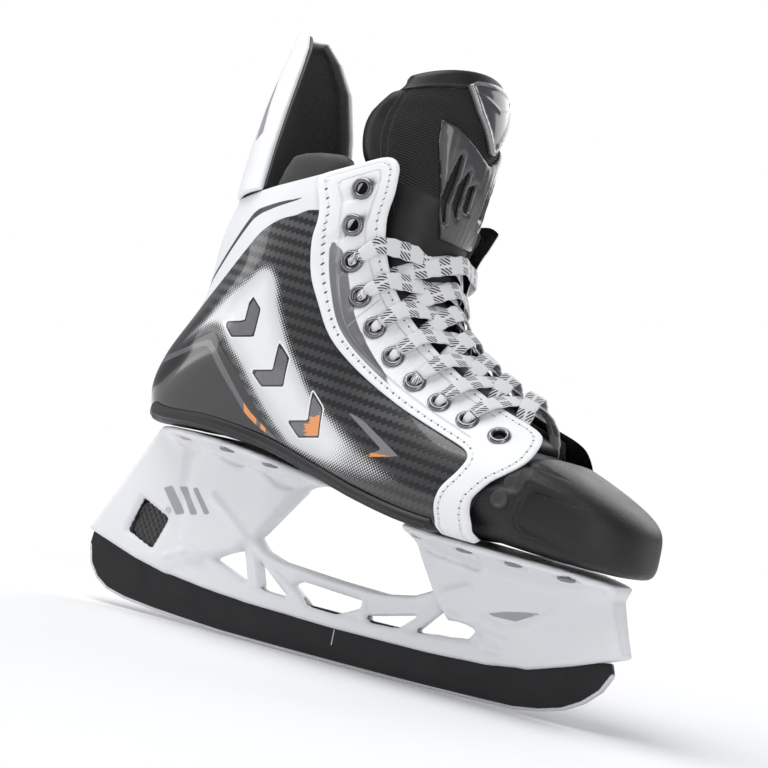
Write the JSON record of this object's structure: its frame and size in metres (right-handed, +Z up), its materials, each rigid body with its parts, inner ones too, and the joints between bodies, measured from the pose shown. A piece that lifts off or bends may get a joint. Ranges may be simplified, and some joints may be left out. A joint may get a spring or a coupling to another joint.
{
  "type": "ice hockey skate",
  "caption": "Ice hockey skate: laced composite boot with tongue and tendon guard, on a two-tower truss blade holder with a trigger-released steel runner.",
  "frame": {"origin": "middle of the flat stretch of the runner's glide edge, on the ice", "axes": "+X towards the toe, +Z up, -Y the outer (lateral) side"},
  "size_m": [0.296, 0.0988, 0.292],
  "materials": {
    "shell": "gloss black woven composite",
    "outsole": "satin dark grey",
    "toe_plastic": "fine grained black",
    "toe_plug": "satin dark grey",
    "liner": "brushed black microfibre",
    "footbed": "knitted grey",
    "collar": "soft black",
    "facing": "white synthetic leather",
    "eyelet": "gunmetal",
    "lace": "white woven with black tracers",
    "felt": "black textile over felt",
    "tongue_trim": "gloss dark grey",
    "badge": "gloss grey",
    "guard": "satin white",
    "guard_lining": "black textile",
    "holder": "satin white",
    "rivet": "dark steel",
    "screw": "copper tinted steel",
    "trigger": "black, knurled",
    "pin": "plain steel",
    "runner_steel": "black coated steel with a bright ground edge"
  },
  "bodies": {
    "boot": {"boot_shell": "shell", "outsole": "outsole", "toe_cap": "toe_plastic", "toe_cap_plugs": "toe_plug", "liner": "liner", "footbed": "footbed", "collar_roll": "collar", "facing_lateral": "facing", "facing_medial": "facing", "eyelets_lateral": "eyelet", "eyelets_medial": "eyelet", "lace_strand_a": "lace", "lace_strand_b": "lace", "tongue_lower": "felt", "blade_holder": "holder", "rivets_front": "rivet", "rivets_rear": "rivet", "screws_front": "screw", "screws_rear": "screw", "trigger_pin": "pin", "trigger_spring": "pin"},
    "tongue_top": {"tongue_upper": "felt", "tongue_rib_insert": "tongue_trim", "tongue_badge": "badge"},
    "guard": {"tendon_guard": "guard", "guard_lining": "guard_lining"},
    "trigger": {"lock_trigger": "trigger"},
    "runner": {"runner": "runner_steel"}
  },
  "joints": [
    {"name": "tongue_flex", "type": "hinge", "parent": "boot", "child": "tongue_top", "pos_m": [0.0295, 0, 0.1965], "axis": [0, 1, 0], "range_deg": [0, 28], "stiffness_Nm_per_rad": 0.8},
    {"name": "guard_flex", "type": "hinge", "parent": "boot", "child": "guard", "pos_m": [-0.0905, 0, 0.2035], "axis": [0, -1, 0], "range_deg": [0, 18], "stiffness_Nm_per_rad": 1.5},
    {"name": "trigger_pull", "type": "hinge", "parent": "boot", "child": "trigger", "pos_m": [-0.099, 0, 0.052], "axis": [0, 1, 0], "range_deg": [0, 8], "stiffness_Nm_per_rad": 0.3},
    {"name": "runner_release", "type": "hinge", "parent": "boot", "child": "runner", "pos_m": [0.141, 0, 0.0305], "axis": [0, -1, 0], "range_deg": [0, 8]}
  ]
}
